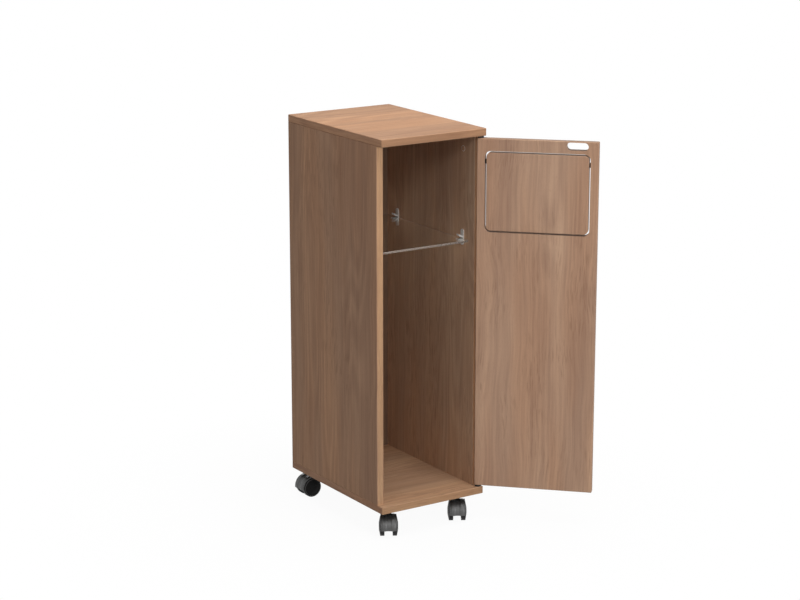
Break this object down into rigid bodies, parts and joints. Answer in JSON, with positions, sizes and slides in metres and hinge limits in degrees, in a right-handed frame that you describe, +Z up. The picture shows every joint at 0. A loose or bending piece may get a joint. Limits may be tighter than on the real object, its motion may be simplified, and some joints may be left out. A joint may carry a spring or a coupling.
{
  "type": "waste bin cabinet",
  "caption": "narrow walnut-look cupboard on twin-wheel casters for a waste bin, with a pivot-hung door, a swing flap, a finger slot and a clear glass shelf",
  "frame": {"origin": "on the floor, under the middle of the carcass's plan", "axes": "X to the right seen from the front, Y to the back, Z up; the door is on the -Y side"},
  "size_m": [0.4047, 0.5117, 0.803],
  "materials": {
    "walnut_board": "satin walnut-look laminate on board",
    "back_board": "satin walnut-look hardboard",
    "zinc_cast": "die-cast, satin",
    "bright_steel": "zinc-plated, satin",
    "dowel_beech": "plain beech",
    "clear_glass": "clear float glass, ground edges",
    "satin_nickel": "satin nickel",
    "black_bush": "black nylon",
    "zinc_plate": "pressed, zinc-plated",
    "caster_hood": "black moulded nylon, slight gloss",
    "caster_wheel": "black moulded nylon"
  },
  "bodies": {
    "cabinet": {"top_panel": "walnut_board", "bottom_panel": "walnut_board", "left_side_panel": "walnut_board", "right_side_panel": "walnut_board", "back_panel": "back_board", "cam_locks": "zinc_cast", "cam_bolts": "bright_steel", "wood_dowels": "dowel_beech", "base_screws": "bright_steel", "glass_shelf": "clear_glass", "shelf_support_front_left": "satin_nickel", "shelf_support_front_right": "satin_nickel", "shelf_support_rear_left": "satin_nickel", "shelf_support_rear_right": "satin_nickel", "upper_pivot_bush": "black_bush", "lower_pivot_bush": "black_bush", "caster_plate_front_left": "zinc_plate", "caster_plate_front_right": "zinc_plate", "caster_plate_rear_left": "zinc_plate", "caster_plate_rear_right": "zinc_plate"},
    "door": {"door_panel": "walnut_board", "lower_pivot_pin": "bright_steel", "upper_pivot_pin": "bright_steel", "flap_bush_hinge_side": "black_bush", "flap_bush_free_side": "black_bush"},
    "flap": {"flap_panel": "walnut_board", "flap_pin_hinge_side": "bright_steel", "flap_pin_free_side": "bright_steel"},
    "caster_front_left": {"caster_hood_front_left": "caster_hood", "caster_axle_front_left": "bright_steel"},
    "wheel_front_left_left": {"wheel_front_left_left": "caster_wheel"},
    "wheel_front_left_right": {"wheel_front_left_right": "caster_wheel"},
    "caster_front_right": {"caster_hood_front_right": "caster_hood", "caster_axle_front_right": "bright_steel"},
    "wheel_front_right_left": {"wheel_front_right_left": "caster_wheel"},
    "wheel_front_right_right": {"wheel_front_right_right": "caster_wheel"},
    "caster_rear_left": {"caster_hood_rear_left": "caster_hood", "caster_axle_rear_left": "bright_steel"},
    "wheel_rear_left_left": {"wheel_rear_left_left": "caster_wheel"},
    "wheel_rear_left_right": {"wheel_rear_left_right": "caster_wheel"},
    "caster_rear_right": {"caster_hood_rear_right": "caster_hood", "caster_axle_rear_right": "bright_steel"},
    "wheel_rear_right_left": {"wheel_rear_right_left": "caster_wheel"},
    "wheel_rear_right_right": {"wheel_rear_right_right": "caster_wheel"}
  },
  "joints": [
    {"name": "door_hinge", "type": "hinge", "parent": "cabinet", "child": "door", "pos_m": [0.113, -0.1675, 0.429], "axis": [0, 0, 1], "range_deg": [-134.8, 35.2]},
    {"name": "flap_swing", "type": "hinge", "parent": "door", "child": "flap", "pos_m": [0.19262, -0.24768, 0.738], "axis": [-0.7046, 0.7096, 0], "range_deg": [-85, 85]},
    {"name": "swivel_front_left", "type": "hinge", "parent": "cabinet", "child": "caster_front_left", "pos_m": [-0.0825, -0.1365, 0.04], "axis": [0, 0, 1], "continuous": true},
    {"name": "roll_front_left_left", "type": "hinge", "parent": "caster_front_left", "child": "wheel_front_left_left", "pos_m": [-0.09126, -0.15107, 0.02], "axis": [0.8572, -0.515, 0], "continuous": true},
    {"name": "roll_front_left_right", "type": "hinge", "parent": "caster_front_left", "child": "wheel_front_left_right", "pos_m": [-0.09126, -0.15107, 0.02], "axis": [0.8572, -0.515, 0], "continuous": true},
    {"name": "swivel_front_right", "type": "hinge", "parent": "cabinet", "child": "caster_front_right", "pos_m": [0.0825, -0.1365, 0.04], "axis": [0, 0, 1], "continuous": true},
    {"name": "roll_front_right_left", "type": "hinge", "parent": "caster_front_right", "child": "wheel_front_right_left", "pos_m": [0.07374, -0.15107, 0.02], "axis": [0.8572, -0.515, 0], "continuous": true},
    {"name": "roll_front_right_right", "type": "hinge", "parent": "caster_front_right", "child": "wheel_front_right_right", "pos_m": [0.07374, -0.15107, 0.02], "axis": [0.8572, -0.515, 0], "continuous": true},
    {"name": "swivel_rear_left", "type": "hinge", "parent": "cabinet", "child": "caster_rear_left", "pos_m": [-0.0825, 0.145, 0.04], "axis": [0, 0, 1], "continuous": true},
    {"name": "roll_rear_left_left", "type": "hinge", "parent": "caster_rear_left", "child": "wheel_rear_left_left", "pos_m": [-0.0995, 0.145, 0.02], "axis": [0, -1, 0], "continuous": true},
    {"name": "roll_rear_left_right", "type": "hinge", "parent": "caster_rear_left", "child": "wheel_rear_left_right", "pos_m": [-0.0995, 0.145, 0.02], "axis": [0, -1, 0], "continuous": true},
    {"name": "swivel_rear_right", "type": "hinge", "parent": "cabinet", "child": "caster_rear_right", "pos_m": [0.0825, 0.145, 0.04], "axis": [0, 0, 1], "continuous": true},
    {"name": "roll_rear_right_left", "type": "hinge", "parent": "caster_rear_right", "child": "wheel_rear_right_left", "pos_m": [0.06778, 0.1365, 0.02], "axis": [0.5, -0.866, 0], "continuous": true},
    {"name": "roll_rear_right_right", "type": "hinge", "parent": "caster_rear_right", "child": "wheel_rear_right_right", "pos_m": [0.06778, 0.1365, 0.02], "axis": [0.5, -0.866, 0], "continuous": true}
  ]
}
